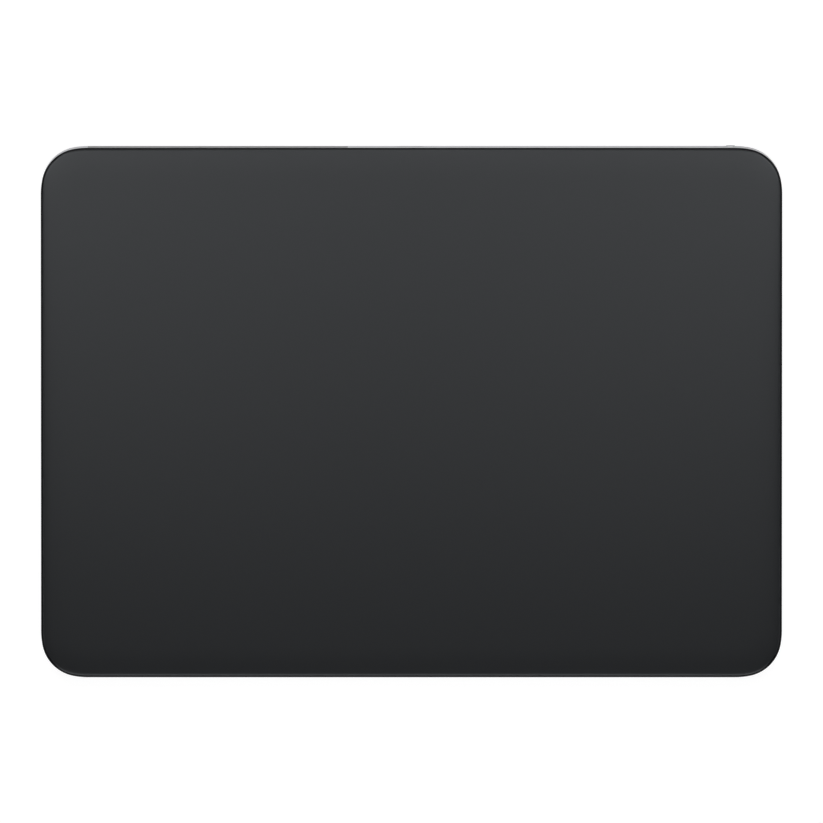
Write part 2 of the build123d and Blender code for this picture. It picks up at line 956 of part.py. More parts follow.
def logic_board():
    """The main circuit board."""
    board = plate(
        board_width, board_length, board_low, board_top, board_x, board_y, board_corner_radius
    )
    radius = screw_shank_radius + screw_fit
    height = (board_low + board_top) / 2
    return board - [Pos(x, y, height) * Cylinder(radius, board_thickness) for x, y in board_screw_places]


can_x = board_left + can_left_inset + can_width / 2
can_y = board_rear - can_rear_inset - can_length / 2


def on_board(width, length, height, x, y):
    """A block on top of the logic board."""
    return plate(width, length, board_top, board_top + height, x, y)


def shield_can():
    """The thin steel can over the processor."""
    hollow = on_board(
        can_width - 2 * can_wall, can_length - 2 * can_wall, can_height - can_wall, can_x, can_y
    )
    return on_board(can_width, can_length, can_height, can_x, can_y) - hollow


radio_x = can_x + can_width / 2 + chip_gap + radio_side / 2
radio_y = can_y + can_length / 2 - radio_side / 2
charger_y = can_y - can_length / 2 + charger_side / 2


def board_passives():
    """Rows of small components between the shield can and the connectors."""
    first_y = can_y + can_length / 2 + passive_gap + passive_length / 2
    return group(
        [
            on_board(
                passive_width, passive_length, passive_height,
                can_x + (column - (passive_columns - 1) / 2) * passive_pitch,
                first_y + row * (passive_length + passive_width),
            )
            for column in range(passive_columns)
            for row in range(passive_rows)
        ]
    )


def board_connectors():
    """Connectors where the flat cables and the antenna cable meet the logic board."""
    rear_y = board_rear - flex_tail - connector_length / 2
    bodies = [
        on_board(width + 2 * connector_end_margin, connector_length, connector_height, x, rear_y)
        for x, width in (
            (battery_flex_x, battery_flex_width),
            (port_flex_x, flex_width),
            (slot_middle, switch_flex_width),
        )
    ]
    bodies.append(
        on_board(
            connector_length, haptic_flex_width + 2 * connector_end_margin, connector_height,
            board_left + flex_tail + connector_length / 2, haptic_socket_y,
        )
    )
    bodies.append(
        on_board(
            connector_length, switch_flex_width + 2 * connector_end_margin, connector_height,
            board_right - flex_tail - connector_length / 2, sensor_connector_y,
        )
    )
    bodies.append(
        on_board(
            flex_width + 2 * connector_end_margin, connector_length, connector_height,
            touch_flex_x, touch_flex_start - connector_length / 2,
        )
    )
    bodies.append(
        on_board(
            cable_socket_side, cable_socket_side, cable_socket_height,
            cable_x, board_rear - flex_tail - cable_socket_side / 2,
        )
    )
    return group(bodies)


# Flat cables: ribbons with a profile in the (y, z) plane


def ribbon(points, left, right):
    """A thin strip whose underside follows the points, between two places along x."""
    upper = [(y, z + flex_thickness) for y, z in reversed(points)]
    profile = make_face(Polyline(*[(left, y, z) for y, z in points + upper], close=True))
    return extrude(profile, right - left, dir=(1, 0, 0))


def board_landing():
    """The last points of a cable that comes along the floor to the logic board's rear edge."""
    return [
        (board_rear + flex_edge_gap + flex_slope_run, floor_top),
        (board_rear + flex_edge_gap, board_top),
        (board_rear - flex_tail, board_top),
    ]


def port_flex():
    """The cable from the port's board, past the battery, to the logic board."""
    deck_run = [
        world(port_board_y + port_board_length / 2 - flex_edge_gap, port_board_top),
        world(port_board_y - port_board_length / 2, port_board_top),
    ]
    forward = [
        (battery_rear, deck_run[1][1]),
        (battery_rear - flex_slope_run, floor_top),
    ]
    along = ribbon(
        deck_run, port_board_width / 2 - flex_tail - connector_end_margin,
        port_flex_x + flex_width / 2,
    )
    down = ribbon(
        deck_run + forward + board_landing(),
        port_flex_x - flex_width / 2, port_flex_x + flex_width / 2,
    )
    return along + down


def switch_flex():
    """The cable from the switch's board to the logic board."""
    start = [
        world(switch_board_front + flex_tail, switch_board_top),
        world(switch_board_front, switch_board_top),
    ]
    floor_start = (start[1][0] - 2 * flex_slope_run, floor_top)
    half = switch_flex_width / 2
    return ribbon(start + [floor_start] + board_landing(), slot_middle - half, slot_middle + half)


def battery_flex():
    """The cable from the battery's board to the logic board."""
    front = battery_y - battery_board_length / 2
    start = [
        (front + flex_tail, battery_board_top),
        (front, battery_board_top),
        (front - flex_slope_run, floor_top),
    ]
    half = battery_flex_width / 2
    return ribbon(start + board_landing(), battery_flex_x - half, battery_flex_x + half)


def haptic_flex():
    """The cable from the top of the actuator's core, over its frame, into its connector."""
    points = [
        (core_width / 2 - haptic_flex_seat, core_top),
        (core_width / 2 + frame_ear_length, core_top),
        (board_left, haptic_socket_depth),
        (board_left + flex_tail, haptic_socket_depth),
    ]
    upper = [(x, depth - flex_thickness) for x, depth in reversed(points)]
    back = haptic_flex_y + haptic_flex_width / 2
    profile = make_face(Polyline(*[(x, back, -depth) for x, depth in points + upper], close=True))
    return extrude(profile, haptic_flex_width, dir=(0, -1, 0))


def touch_flex():
    """The cable that rises from the logic board to the underside of the touch board."""
    half = flex_width / 2
    thickness = flex_thickness / math.cos(tilt)
    points = [
        (touch_flex_start, board_top),
        (touch_flex_start + flex_tail, board_top),
        world(touch_flex_end, carrier_top + thickness),
        world(touch_flex_end + flex_tail, carrier_top + thickness),
    ]
    return ribbon(points, touch_flex_x - half, touch_flex_x + half)


# Haptic actuator


def haptic_core():
    """The laminated comb core."""
    spine_y = spine_front + spine_width / 2
    core = deck_plate(core_width, spine_width, core_top, core_bottom, 0, spine_y)
    for x in leg_places:
        core += deck_plate(
            leg_width, leg_length, core_top, core_bottom, x, spine_rear + leg_length / 2
        )
    return core


def haptic_coils():
    """A winding round every leg of the core."""
    y = spine_rear + (leg_length - frame_rail_width) / 2
    coils = []
    for x in leg_places:
        outer = deck_plate(
            leg_width + 2 * coil_grow, coil_length, core_top - coil_grow, core_bottom + coil_grow,
            x, y, coil_wall,
        )
        bore = deck_plate(
            leg_width + 2 * coil_fit, coil_length + cut_overrun,
            core_top - coil_fit, core_bottom + coil_fit, x, y,
        )
        coils.append(outer - bore)
    return group(coils)


def haptic_frame():
    """The bracket that carries the core, with a window for the coils and four screwed ears."""
    length = leg_rear - spine_front
    frame = deck_plate(
        core_width + 2 * frame_ear_length, length, core_bottom, frame_bottom,
        0, spine_front + length / 2, frame_ear_length / 2,
    )
    window_length_y = leg_length - frame_rail_width
    window = deck_plate(
        core_width + 2 * (coil_grow + frame_window_gap), window_length_y,
        core_bottom - cut_overrun, frame_bottom + cut_overrun,
        0, spine_rear + window_length_y / 2,
    )
    return frame - window - screw_holes(frame_screw_places, core_bottom, frame_thickness)


# Case


def case_walls():
    """The wedge-shaped block that the case is cut from, in deck coordinates, and its hollow."""
    deep = rear_wall_bottom + cut_overrun
    world_to_deck = deck_location.inverse()
    block = outline_slab(0, rim_depth, deep) & (world_to_deck * above(foot_stand))
    block = chamfer(block.faces().sort_by(Axis.Z)[-1].edges(), rim_chamfer)
    block = fillet(block.faces().sort_by(Axis.Z)[0].edges(), bottom_edge_radius)
    cavity = placed(outline_slab(wall_thickness, -cut_overrun, deep)) & above(floor_top)
    return block, cavity


def foot_places():
    """Places of the four feet in the world."""
    x = deck_width / 2 - foot_inset
    y = deck_length / 2 - foot_inset
    return {
        "front_left": (-x, -y), "front_right": (x, -y), "rear_left": (-x, y), "rear_right": (x, y),
    }


def foot(x, y):
    """A rubber foot with a softened lower edge."""
    height = foot_stand + foot_recess
    body = Cylinder(foot_diameter / 2 - foot_fit, height)
    body = fillet(body.edges().group_by(Axis.Z)[0], foot_edge_radius)
    return Pos(x, y, height / 2) * body


def bottom_case(walls, cavity):
    """The machined aluminium tray."""
    case = placed(walls) - cavity
    posts = (
        bosses(beam_screw_places(), beam_bottom)
        + bosses(port_screw_places, port_board_bottom)
        + bosses(switch_screw_places, switch_board_bottom)
        + bosses(frame_screw_places, frame_bottom)
    )
    holes = (
        boss_holes(beam_screw_places(), beam_bottom)
        + boss_holes(port_screw_places, port_board_bottom)
        + boss_holes(switch_screw_places, switch_board_bottom)
        + boss_holes(frame_screw_places, frame_bottom)
    )
    case += [placed(post) for post in posts]
    post_low = floor_top - floor_thickness / 2
    for x, y in board_screw_places:
        case += Pos(x, y, (post_low + board_low) / 2) * Cylinder(boss_radius, board_low - post_low)
    depth = screw_grip + screw_tip_gap
    radius = screw_shank_radius + screw_fit
    board_holes = [
        Pos(x, y, board_low - depth / 2) * Cylinder(radius, depth) for x, y in board_screw_places
    ]
    recesses = [
        Pos(x, y, foot_stand + foot_recess / 2) * Cylinder(foot_diameter / 2, foot_recess)
        for x, y in foot_places().values()
    ]
    return case - [placed(hole) for hole in holes] - board_holes - recesses - wall_cuts()


def wall_cuts():
    """The openings in the rear wall: window notch, port mouth, switch slot and its flat pocket."""
    start = rear_inner_face - cut_overrun
    end = rear_face + cut_overrun
    mouth_width = port_slot_width + 2 * port_mouth_margin
    mouth_height = port_slot_height + 2 * port_mouth_margin
    wide = 2 * port_mouth_chamfer
    mouth_plane = Plane(origin=(0, rear_face, -rear_axis_depth), x_dir=(1, 0, 0), z_dir=(0, -1, 0))
    flare = extrude(
        mouth_plane * SlotOverall(mouth_width + wide, mouth_height + wide),
        port_mouth_chamfer, taper=45,
    )
    pocket_left = slider_left - switch_travel - pocket_margin
    pocket_right = slider_right + pocket_margin
    pocket_half = slider_height / 2 + pocket_margin
    pocket_depth = switch_board_length
    pocket = deck_plate(
        pocket_right - pocket_left, pocket_depth,
        rear_axis_depth - pocket_half, rear_axis_depth + pocket_half,
        (pocket_left + pocket_right) / 2, rear_inner_face - pocket_depth / 2,
    )
    cuts = [
        window_notch(cut_overrun),
        window_rim(),
        pill(mouth_width, mouth_height, start, end, 0, rear_axis_depth),
        flare,
        pill(switch_slot_length, switch_slot_height, start, end, slot_middle, rear_axis_depth),
        pocket,
    ]
    return [placed(cut) for cut in cuts]


def build():
    """Every node of the trackpad, by name, in the world."""
    walls, cavity = case_walls()
    nodes = {"bottom_case": bottom_case(walls, cavity), "sensor_flex": sensor_flex(cavity)}
    for name, (x, y) in foot_places().items():
        nodes[f"foot_{name}"] = foot(x, y)
    on_deck = {
        "glass_cover": glass_cover(),
        "glass_bond": outline_slab(touch_board_inset, glass_thickness, touch_board_top),
        "touch_board": outline_slab(touch_board_inset, touch_board_top, carrier_top),
        "touch_chips": touch_chips(),
        "carrier_plate": carrier_plate(),
        "attraction_bar": attraction_bar(),
        "bar_screws": bar_screws(),
        "gel_pads": over_tips(gel_side, carrier_bottom, gel_bottom),
        "tip_plates": over_tips(tip_plate_side, gel_bottom, beam_top),
        "strain_gauges": strain_gauges(),
        "beam_screws": deck_screws(beam_screw_places(), beam_top, beam_thickness),
        "port_housing": port_housing(),
        "port_shell": port_shell(),
        "port_contacts": port_contacts(),
        "port_board": port_board(),
        "port_screws": deck_screws(port_screw_places, port_board_top, port_board_thickness),
        "switch_knob": switch_knob(),
        "switch_mark": switch_mark(),
        "switch_lever": switch_lever(),
        "switch_housing": switch_housing(),
        "switch_board": switch_board(),
        "switch_screws": deck_screws(switch_screw_places, switch_board_top, switch_board_thickness),
        "antenna_window": antenna_window(walls),
        "antenna_carrier": antenna_carrier(),
        "antenna_trace": antenna_trace(),
        "haptic_core": haptic_core(),
        "haptic_coils": haptic_coils(),
        "haptic_frame": haptic_frame(),
        "haptic_flex": haptic_flex(),
        "haptic_screws": deck_screws(frame_screw_places, core_bottom, frame_thickness),
    }
    for name, (side, y) in beam_places.items():
        on_deck[f"force_beam_{name}"] = force_beam(side, y)
    for name, shape in on_deck.items():
        nodes[name] = placed(shape)
    nodes.update(
        {
            "antenna_cable": antenna_cable(),
            "battery_cell": battery_cell(),
            "battery_tape": battery_tape(),
            "battery_board": plate(
                battery_board_width, battery_board_length, battery_low, battery_board_top,
                battery_flex_x, battery_y,
            ),
            "battery_flex": battery_flex(),
            "logic_board": logic_board(),
            "board_screws": board_screws(),
            "shield_can": shield_can(),
            "processor_chip": on_board(
                processor_side, processor_side, processor_height, can_x, can_y
            ),
            "radio_chip": on_board(radio_side, radio_side, radio_height, radio_x, radio_y),
            "charger_chip": on_board(
                charger_side, charger_side, charger_height, radio_x, charger_y
            ),
            "board_passives": board_passives(),
            "board_connectors": board_connectors(),
            "port_flex": port_flex(),
            "switch_flex": switch_flex(),
            "touch_flex": touch_flex(),
        }
    )
    return nodes


os.makedirs("parts", exist_ok=True)
for node_name, node in build().items():
    export_step(node, f"parts/{node_name}.step")
print("front height", round(front_height, 3), "rear height", round(rear_height, 3))
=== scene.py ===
# %% [markdown]
# # A slim desk trackpad
# The trackpad is a thin wedge: a matte black glass surface over a silver aluminium tray, with a
# charging port, an antenna window and a power switch in the rear wall. The imported CAD model
# gives every size, and the inside. This lesson dresses it. The pieces that show are drawn again
# or smoothed, the ones that flex are copied and the beams' necks are cut across, and every piece
# gets its finish.

# %% Load the imported model
import bpy
import bmesh
import json
import math
from mathutils import Matrix, Vector
from mathutils.bvhtree import BVHTree
from mathutils.interpolate import poly_3d_calc

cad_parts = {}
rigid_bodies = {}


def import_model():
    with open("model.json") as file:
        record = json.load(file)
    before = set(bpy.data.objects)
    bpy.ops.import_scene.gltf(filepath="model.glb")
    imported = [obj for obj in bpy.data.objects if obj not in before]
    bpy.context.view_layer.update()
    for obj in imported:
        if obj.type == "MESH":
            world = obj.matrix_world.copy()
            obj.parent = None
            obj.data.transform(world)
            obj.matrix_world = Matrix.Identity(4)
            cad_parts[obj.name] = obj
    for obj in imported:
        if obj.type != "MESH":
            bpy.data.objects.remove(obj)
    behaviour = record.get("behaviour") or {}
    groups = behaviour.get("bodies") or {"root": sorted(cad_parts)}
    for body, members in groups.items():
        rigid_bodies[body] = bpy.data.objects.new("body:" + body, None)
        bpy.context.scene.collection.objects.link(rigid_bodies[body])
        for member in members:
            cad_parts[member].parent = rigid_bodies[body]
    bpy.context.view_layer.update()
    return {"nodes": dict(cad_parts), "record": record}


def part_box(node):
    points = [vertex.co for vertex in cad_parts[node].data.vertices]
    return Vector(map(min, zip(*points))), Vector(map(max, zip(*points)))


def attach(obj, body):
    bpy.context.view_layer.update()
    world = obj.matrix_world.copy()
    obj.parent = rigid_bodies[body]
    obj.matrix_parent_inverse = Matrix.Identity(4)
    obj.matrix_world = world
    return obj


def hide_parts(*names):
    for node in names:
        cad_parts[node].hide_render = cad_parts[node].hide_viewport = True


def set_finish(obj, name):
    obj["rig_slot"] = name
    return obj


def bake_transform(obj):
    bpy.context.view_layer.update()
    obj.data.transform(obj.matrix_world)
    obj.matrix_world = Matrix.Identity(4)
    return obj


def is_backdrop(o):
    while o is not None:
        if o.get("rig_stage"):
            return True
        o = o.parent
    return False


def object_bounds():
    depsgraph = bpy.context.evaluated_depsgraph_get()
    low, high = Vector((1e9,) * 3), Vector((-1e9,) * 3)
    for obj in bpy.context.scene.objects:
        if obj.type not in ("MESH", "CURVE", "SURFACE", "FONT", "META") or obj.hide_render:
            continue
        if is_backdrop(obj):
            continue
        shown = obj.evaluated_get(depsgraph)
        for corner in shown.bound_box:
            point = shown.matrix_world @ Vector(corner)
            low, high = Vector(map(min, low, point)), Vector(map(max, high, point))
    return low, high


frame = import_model()

# %% [markdown]
# ## The sloping deck
# The glass slopes down 3 degrees towards the user. It could be modelled in place, but insets and
# extrusions are far easier to follow on a level face. So each deck piece is drawn lying flat,
# with its top at height zero, and is tipped into place once at the end. The same turn and lift
# are kept here as one matrix, in metres.

# %% The deck's place
MM = 0.001
DECK_WIDTH = 160.0 * MM
DECK_LENGTH = 114.5 * MM
DECK_TILT = math.radians(3.0)
DECK_HEIGHT = 8.042642 * MM
DECK_BACK = -0.231613 * MM

deck = Matrix.Translation((0, DECK_BACK, DECK_HEIGHT)) @ Matrix.Rotation(DECK_TILT, 4, "X")
slope = deck.to_3x3() @ Vector((0, 0, 1))
front_edge = deck @ Vector((0, -DECK_LENGTH / 2, 0))
print("front edge of the deck, mm:", [round(v * 1000, 2) for v in front_edge])

# %% [markdown]
# ## One piece at a time
# Operators act on everything that is selected, and loading the model leaves all its nodes
# selected. By hand one would click on the next piece. A script can't click, so every step starts
# from an empty selection, selects its own piece, and opens it in edit mode where it needs to.


# %% Selecting helpers
def clear_selection():
    if bpy.context.object and bpy.context.object.mode != "OBJECT":
        bpy.ops.object.mode_set(mode="OBJECT")
    bpy.ops.object.select_all(action="DESELECT")


def only(piece):
    clear_selection()
    piece.select_set(True)
    bpy.context.view_layer.objects.active = piece


def edit(piece):
    """Opens one piece in edit mode, with all of it selected."""
    only(piece)
    bpy.ops.object.mode_set(mode="EDIT")
    bpy.ops.mesh.select_all(action="SELECT")


# %% [markdown]
# ## The outline of the deck
# Glass and tray share one outline. Its corners are not plain arcs: each starts wide, tightens, and
# opens again, so that the outline flows from one side into the next. A bevelled rectangle would
# show where the straight edge stops. Three arcs that touch, as a draughtsman would set them,
# come close to the real curve with a few plain measures.

# %% Measures of the corner
LEAD_RADIUS = 16.5 * MM
LEAD_SWEEP = math.radians(11)
LEAD_STEPS = 6
CORE_RADIUS = 8.4 * MM
CORE_SWEEP = math.radians(68)
CORE_STEPS = 26
CORNER_RUN = (
    LEAD_RADIUS * math.sin(LEAD_SWEEP)
    + CORE_RADIUS * (math.sin(LEAD_SWEEP + CORE_SWEEP) - math.sin(LEAD_SWEEP))
    + LEAD_RADIUS * (1 - math.sin(LEAD_SWEEP + CORE_SWEEP))
)
print("each corner takes", round(CORNER_RUN * 1000, 2), "mm of both edges")

# %% [markdown]
# ## A quarter, by move and spin
# A curve object could trace the outline, but its handles only come near an arc, and spin draws
# a true one. A plane is merged to a single point, and the point is extruded along the rear edge.
# Spin then sweeps it through the three arcs. Each new centre lies on the line to the last one,
# which is what makes two arcs touch without a kink.


# %% Draw a quarter of the outline
def chosen_vertex(piece):
    shell = bmesh.from_edit_mesh(piece.data)
    return next(v.co.copy() for v in shell.verts if v.select)


def arc(piece, radius, inwards, sweep, steps):
    """Spins the chosen vertex, and returns the new direction from it to the centre."""
    centre = chosen_vertex(piece) + inwards.normalized() * radius
    bpy.ops.mesh.spin(steps=steps, angle=sweep, center=centre, axis=(0, 0, 1))
    return centre - chosen_vertex(piece)


def quarter_outline(height):
    clear_selection()
    bpy.ops.mesh.primitive_plane_add(size=2 * MM, location=(0, 0, 0))
    piece = bpy.context.object
    bpy.ops.object.mode_set(mode="EDIT")
    bpy.ops.mesh.select_mode(type="VERT")
    bpy.ops.mesh.select_all(action="SELECT")
    bpy.ops.mesh.merge(type="CENTER")
    bpy.ops.transform.translate(value=(0, DECK_LENGTH / 2, height))
    along = DECK_WIDTH / 2 - CORNER_RUN
    bpy.ops.mesh.extrude_vertices_move(TRANSFORM_OT_translate={"value": (along, 0, 0)})
    inwards = arc(piece, LEAD_RADIUS, Vector((0, -1, 0)), LEAD_SWEEP, LEAD_STEPS)
    inwards = arc(piece, CORE_RADIUS, inwards, CORE_SWEEP, CORE_STEPS)
    arc(piece, LEAD_RADIUS, inwards, LEAD_SWEEP, LEAD_STEPS)
    down = -chosen_vertex(piece).y
    bpy.ops.mesh.extrude_vertices_move(TRANSFORM_OT_translate={"value": (0, down, 0)})
    bpy.ops.object.mode_set(mode="OBJECT")
    return piece


# %% [markdown]
# ## The whole outline, by mirror and fill
# The deck is the same on both sides and at both ends. Drawing four corners would invite four
# slightly different ones, so a mirror modifier makes the other three quarters. Points that fall
# together are merged, and the ring of edges is filled with one flat face that looks up.

# %% Mirror and fill the outline
SEAM_WIDTH = 0.01 * MM
SAME_POINT = 0.002 * MM


def deck_outline(height):
    """One flat face with the deck's outline, left in edit mode and selected."""
    piece = quarter_outline(height)
    mirror = piece.modifiers.new("both_sides", "MIRROR")
    mirror.use_axis = (True, True, False)
    mirror.merge_threshold = SEAM_WIDTH
    bpy.ops.object.modifier_apply(modifier=mirror.name)
    edit(piece)
    bpy.ops.mesh.remove_doubles(threshold=SAME_POINT)
    bpy.ops.mesh.edge_face_add()
    bpy.ops.mesh.select_mode(type="FACE")
    bpy.ops.mesh.select_all(action="SELECT")
    bpy.ops.mesh.normals_make_consistent(inside=False)
    shell = bmesh.from_edit_mesh(piece.data)
    shell.faces.ensure_lookup_table()
    if shell.faces[0].normal.z < 0:
        bpy.ops.mesh.flip_normals()
    print("outline of", len(shell.verts), "points")
    return piece


# %% [markdown]
# ## Shading and settling
# A new piece is shaded flat, face by face. Smooth shading hides the facets, but it would also
# melt real corners, so it stops at an angle. The finished piece gets its name, its finish slot,
# the solid that it stands for and the body that it moves with. Its place is baked into its
# mesh, because the export expects every object at the origin.

# %% Shading and settling helpers
SOFT_CREASE = 40


def smooth(piece, angle):
    """Smooth shading, but for edges that are sharper than the angle, in degrees."""
    only(piece)
    bpy.ops.object.shade_smooth_by_angle(angle=math.radians(angle))


def settle(piece, name, body, slot, *nodes, place=None):
    only(piece)
    if place is not None:
        piece.matrix_world = place @ piece.matrix_world
    bpy.ops.object.transform_apply(location=True, rotation=True, scale=True)
    piece.name = name
    piece.data.name = name
    if nodes:
        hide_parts(*nodes)
    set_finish(piece, slot)
    if body:
        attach(piece, body)
    print(name, "has", len(piece.data.polygons), "faces")
    return piece


# %% [markdown]
# ## The edge of the glass
# The cover glass is 1 mm thick. It is flat in the middle, rolls off by a fifth of a millimetre
# over its last 6 mm, and turns down over a fine ground edge. That edge draws the bright line
# which the eye reads as glass. A bevel modifier gives one even round only. So the profile is
# listed point by point: how far in from the side, and how far below the flat.

# %% The profile of the edge
GLASS_THICKNESS = 1.0 * MM
GLASS_UNDER_CHAMFER = 0.15 * MM
SIDE_TOP = 0.6 * MM
EDGE_WIDTH = 1.5 * MM
EDGE_DROP = 0.448 * MM
ROLL_WIDTH = 6.0 * MM
ROLL_DROP = 0.22 * MM
EDGE_ANGLES = (80, 70, 60, 50, 41, 33, 26, 20, 15, 11)
ROLL_PLACES = (1.6, 2.0, 2.5, 3.0, 3.5, 4.0, 4.5, 5.0, 5.5, 6.0)

roll_radius = (ROLL_WIDTH**2 + ROLL_DROP**2) / (2 * ROLL_DROP)
profile = [(0.0, SIDE_TOP)]
for angle in EDGE_ANGLES:
    turn = math.radians(angle)
    profile.append((EDGE_WIDTH * (1 - math.sin(turn)), SIDE_TOP - EDGE_DROP * math.cos(turn)))
for inwards in ROLL_PLACES:
    run = ROLL_WIDTH - inwards * MM
    profile.append((inwards * MM, roll_radius - math.sqrt(roll_radius**2 - run**2)))
print("profile, mm in and down:", [(round(u * 1000, 2), round(v * 1000, 3)) for u, v in profile])

# %% [markdown]
# ## Stepping in and picking
# An inset draws a smaller face inside the chosen one and can lift it at the same time, so one
# inset is one step of a profile, all round the outline. Scaling the face would not do, because
# the step would grow uneven at the corners. What comes next is picked by a plain test on each
# face or edge, where one would click by hand.


# %% Helpers to step inwards and to pick
def step_in(width, rise):
    bpy.ops.mesh.inset(thickness=width, depth=rise, use_even_offset=True)


def pick(piece, kind, wanted):
    """In edit mode, selects the FACE or EDGE elements that pass a test, and counts them."""
    bpy.ops.mesh.select_mode(type=kind)
    bpy.ops.mesh.select_all(action="DESELECT")
    shell = bmesh.from_edit_mesh(piece.data)
    elements = shell.faces if kind == "FACE" else shell.edges
    chosen = [element for element in elements if wanted(element)]
    for element in chosen:
        element.select_set(True)
    shell.select_flush_mode()
    bmesh.update_edit_mesh(piece.data)
    return len(chosen)


# %% [markdown]
# ## Raising the glass
# The outline starts as the underside, and is extruded to the height of the side. Each point of
# the profile then becomes one step. A boolean cut with a shaped cutter could form the same edge,
# but it would leave ragged triangles, and insets leave clean rings. The underside gets its small
# chamfer in the same way. It is the one large face that lies low.

# %% Raise the glass from its outline
MANY_CORNERS = 8
under = GLASS_THICKNESS - GLASS_UNDER_CHAMFER


def is_underside(face):
    return len(face.verts) > MANY_CORNERS and face.calc_center_median().z < -under / 2


glass = deck_outline(-under)
bpy.ops.mesh.extrude_region_move(TRANSFORM_OT_translate={"value": (0, 0, under - SIDE_TOP)})
for (near, low), (far, high) in zip(profile, profile[1:]):
    step_in(far - near, low - high)
pick(glass, "FACE", is_underside)
step_in(GLASS_UNDER_CHAMFER, GLASS_UNDER_CHAMFER)
bpy.ops.mesh.select_all(action="SELECT")
bpy.ops.mesh.normals_make_consistent(inside=False)
bpy.ops.object.mode_set(mode="OBJECT")
smooth(glass, SOFT_CREASE)
settle(glass, "glass_surface", "touch_plate", "black_glass", "glass_cover", place=deck)

# %% [markdown]
# ## Copies of machined pieces
# The tray, the antenna window and the small metal pieces already have the right shape in the CAD
# model, but their meshes are loose triangles with hard shading. Drawing them again would only
# add errors. A copy is merged instead, and its flat faces are joined. A machined part has large
# flats that meet in small rounds, and plain smooth shading spreads each round over the flat
# beside it. Weighted normals let the flats win. The solid itself is left alone.

# %% A smoothed copy of a solid
SAME_CORNER = 0.0005 * MM
FLAT = math.radians(0.2)
CRISP_CREASE = 28
FULL_WEIGHT = 100


def flat_first(piece, angle):
    """Smooth shading up to an angle, where large flat faces keep their own normal."""
    smooth(piece, angle)
    weigh = piece.modifiers.new("flat_faces_first", "WEIGHTED_NORMAL")
    weigh.keep_sharp = True
    weigh.weight = FULL_WEIGHT
    bpy.ops.object.modifier_apply(modifier=weigh.name)


def smoothed_copy(node, name, body, slot):
    clear_selection()
    source = frame["nodes"][node]
    piece = source.copy()
    piece.data = source.data.copy()
    bpy.context.scene.collection.objects.link(piece)
    piece.parent = None
    piece.matrix_world = Matrix.Identity(4)
    piece.hide_viewport = False
    piece.hide_render = False
    edit(piece)
    bpy.ops.mesh.remove_doubles(threshold=SAME_CORNER)
    bpy.ops.mesh.dissolve_limited(angle_limit=FLAT)
    bpy.ops.object.mode_set(mode="OBJECT")
    flat_first(piece, CRISP_CREASE)
    return settle(piece, name, body, slot, node)


# %% [markdown]
# ## The outer skin of the tray
# The real tray is milled from one block, and its walls are flawless. In a copy, the openings of
# the rear wall leave long, thin triangles, and shading that is averaged over them shows as
# streaks. A remesh would even them out, but blur the corners too. So the skin is drawn once more
# without any opening: the outline is pulled up into a block, tipped with the deck, cut level at
# the bottom, rounded there, and chamfered at the rim.

# %% Draw the skin without openings
RIM_DEPTH = 1.3 * MM
SKIN_DEPTH = 12.0 * MM
FLOOR_LEVEL = 0.6 * MM
BOTTOM_ROUND = 1.6 * MM
BOTTOM_STEPS = 12
RIM_CHAMFER = 0.2 * MM
SKIN_CREASE = 30
NEAR = 0.01 * MM

skin = deck_outline(-SKIN_DEPTH)
bpy.ops.mesh.extrude_region_move(TRANSFORM_OT_translate={"value": (0, 0, SKIN_DEPTH - RIM_DEPTH)})
bpy.ops.mesh.select_all(action="SELECT")
bpy.ops.mesh.normals_make_consistent(inside=False)
bpy.ops.object.mode_set(mode="OBJECT")
skin.matrix_world = deck
bpy.ops.object.transform_apply(location=True, rotation=True, scale=True)
edit(skin)
bpy.ops.mesh.bisect(
    plane_co=(0, 0, FLOOR_LEVEL), plane_no=(0, 0, 1), use_fill=True, clear_inner=True
)
rim_height = (deck @ Vector((0, 0, -RIM_DEPTH))).dot(slope)
rim = pick(skin, "EDGE", lambda e: all(abs(v.co.dot(slope) - rim_height) < NEAR for v in e.verts))
bpy.ops.mesh.bevel(offset=RIM_CHAMFER, segments=1)
bottom = pick(skin, "EDGE", lambda e: all(abs(v.co.z - FLOOR_LEVEL) < NEAR for v in e.verts))
bpy.ops.mesh.bevel(offset=BOTTOM_ROUND, segments=BOTTOM_STEPS, profile=0.5)
bpy.ops.object.mode_set(mode="OBJECT")
flat_first(skin, SKIN_CREASE)
print("edges chamfered at the rim:", rim, "and rounded at the bottom:", bottom)

# %% [markdown]
# ## Lending the skin's normals
# A normal is the direction that a spot on the surface seems to face, and light only knows that.
# A data transfer modifier could carry normals over, but it would also change the faces inside
# the openings. A search goes face by face: where a face of the copy lies on the skin and looks
# the same way, its corners take the skin's normal at that spot.

# %% Lend normals from one piece to another
REACH = 0.06 * MM
SAME_WAY = math.cos(math.radians(20))
OFF_THE_CORNER = 0.02


def lend_normals(source, piece):
    shape = source.data
    rings = [list(face.vertices) for face in shape.polygons]
    tree = BVHTree.FromPolygons([v.co for v in shape.vertices], rings)

    def normal_at(point):
        spot, _, index, distance = tree.find_nearest(point)
        face = shape.polygons[index]
        weights = poly_3d_calc([shape.vertices[i].co for i in face.vertices], spot)
        normal = Vector((0, 0, 0))
        for weight, loop in zip(weights, face.loop_indices):
            normal += weight * shape.corner_normals[loop].vector
        return normal.normalized(), distance

    mesh = piece.data
    normals = [entry.vector.copy() for entry in mesh.corner_normals]
    lent = 0
    for face in mesh.polygons:
        middle, distance = normal_at(face.center)
        if distance > REACH or middle.dot(face.normal) < SAME_WAY:
            continue
        lent += 1
        for loop in face.loop_indices:
            point = mesh.vertices[mesh.loops[loop].vertex_index].co
            normals[loop], _ = normal_at(point.lerp(face.center, OFF_THE_CORNER))
    mesh.normals_split_custom_set(normals)
    print(piece.name, "took the skin's normals on", lent, "of", len(mesh.polygons), "faces")


